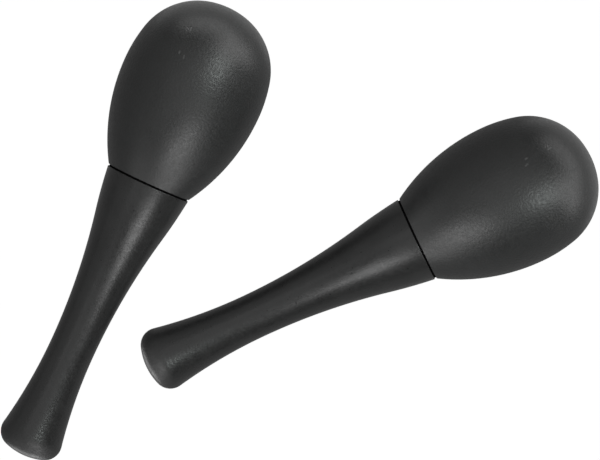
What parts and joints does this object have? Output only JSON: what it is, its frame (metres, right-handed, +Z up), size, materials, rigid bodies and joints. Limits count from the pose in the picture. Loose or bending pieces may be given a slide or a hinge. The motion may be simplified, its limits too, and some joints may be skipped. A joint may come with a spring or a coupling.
{
  "type": "egg maracas",
  "caption": "Egg maracas: hollow plastic egg heads with loose steel shot inside, plugged into waisted handles and lying loose on a surface.",
  "frame": {"origin": "middle of the outline of the pair, on the surface that the pair lies on", "axes": "+Z up from the surface, +X along the longer side of the pair's outline, from the butts to the heads, and +Y towards the head of the left maraca"},
  "size_m": [0.1835, 0.141, 0.0454],
  "materials": {
    "head": "black, evenly grained mould texture, matte",
    "handle": "black, finer grain than the head, satin",
    "shot": "rolled steel balls, dull"
  },
  "bodies": {
    "left_maraca": {"left_head_dome": "head", "left_head_cup": "head", "left_handle": "handle"},
    "left_shot_bed": {"left_shot_bed": "shot"},
    "left_shot_top": {"left_shot_top": "shot"},
    "right_maraca": {"right_head_dome": "head", "right_head_cup": "head", "right_handle": "handle"},
    "right_shot_bed": {"right_shot_bed": "shot"},
    "right_shot_top": {"right_shot_top": "shot"}
  },
  "joints": [
    {"name": "right_lift", "type": "slide", "parent": "left_maraca", "child": "right_maraca", "axis": [0, 0, 1], "range_m": [0, 0.12]},
    {"name": "left_shot_swirl", "type": "hinge", "parent": "left_maraca", "child": "left_shot_bed", "pos_m": [-0.03328, 0.04383, 0.02273], "axis": [0.4138, 0.9038, 0.109], "continuous": true},
    {"name": "left_shot_shake", "type": "slide", "parent": "left_shot_bed", "child": "left_shot_top", "axis": [-0.0454, -0.0991, 0.994], "range_m": [0, 0.028]},
    {"name": "right_shot_swirl", "type": "hinge", "parent": "right_maraca", "child": "right_shot_bed", "pos_m": [0.06508, 0.01119, 0.02273], "axis": [0.8994, 0.4232, 0.109], "continuous": true},
    {"name": "right_shot_shake", "type": "slide", "parent": "right_shot_bed", "child": "right_shot_top", "axis": [-0.0986, -0.0464, 0.994], "range_m": [0, 0.028]}
  ]
}
